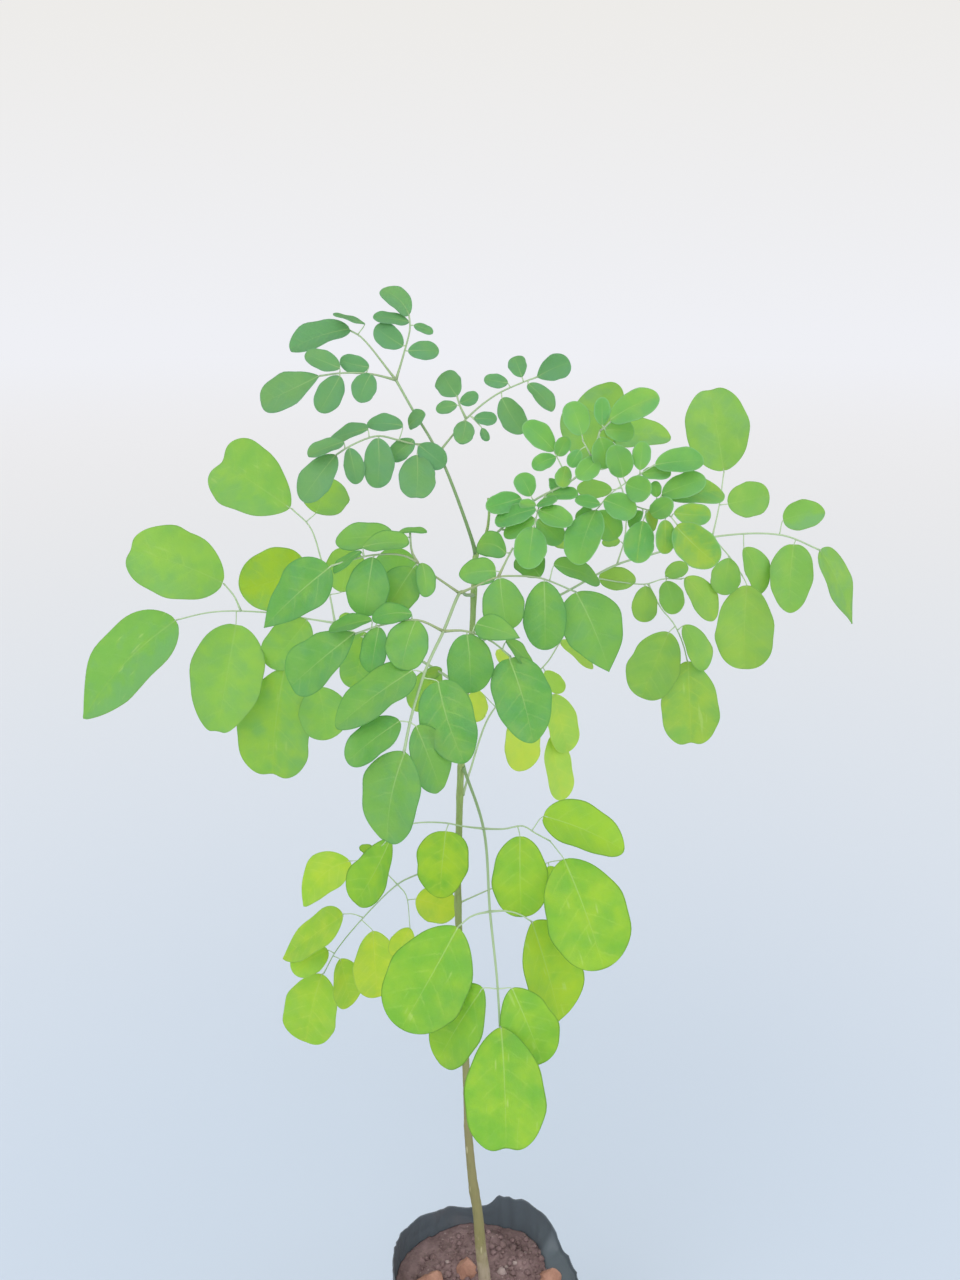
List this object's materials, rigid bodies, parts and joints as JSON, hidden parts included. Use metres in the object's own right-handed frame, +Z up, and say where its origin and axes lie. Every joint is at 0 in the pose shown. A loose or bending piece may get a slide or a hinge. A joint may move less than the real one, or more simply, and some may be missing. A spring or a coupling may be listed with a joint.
{
  "type": "potted moringa",
  "caption": "Young moringa plant with a slender stem and divided leaves, standing in a soil-filled nursery bag.",
  "frame": {"origin": "centre of the nursery bag's flat base", "axes": "+Z up along the stem, -Y towards the viewer's side, +X to the viewer's right"},
  "size_m": [0.2689, 0.1344, 0.464],
  "materials": {
    "film": "black polythene nursery film, soft sheen, crumpled",
    "soil": "dry reddish-brown soil, matt",
    "clay": "orange fired clay, rough",
    "stem": "green-brown young bark, matt",
    "leaf_top": "soft green leaf, satin",
    "leaf_young": "bluish-green young leaf, satin",
    "leaf_front": "deep green leaf, satin",
    "leaf_left": "lime green leaf, satin",
    "leaf_right": "lime green leaf, satin",
    "leaf_low_front": "bright lime leaf with pale flecks, satin",
    "leaf_low_left": "yellow-green leaf, satin",
    "leaf_low_back": "yellow leaf, satin",
    "leaf_hidden": "lime green leaf, satin"
  },
  "bodies": {
    "root": {"bag": "film", "soil": "soil", "clod_1": "clay", "clod_2": "clay", "clod_3": "clay", "clod_4": "clay", "stem": "stem", "frond_top": "leaf_top", "frond_young": "leaf_young", "frond_front": "leaf_front", "frond_left": "leaf_left", "frond_right": "leaf_right", "frond_low_front": "leaf_low_front", "frond_low_left": "leaf_low_left", "frond_low_back": "leaf_low_back", "frond_hidden": "leaf_hidden"}
  },
  "joints": []
}
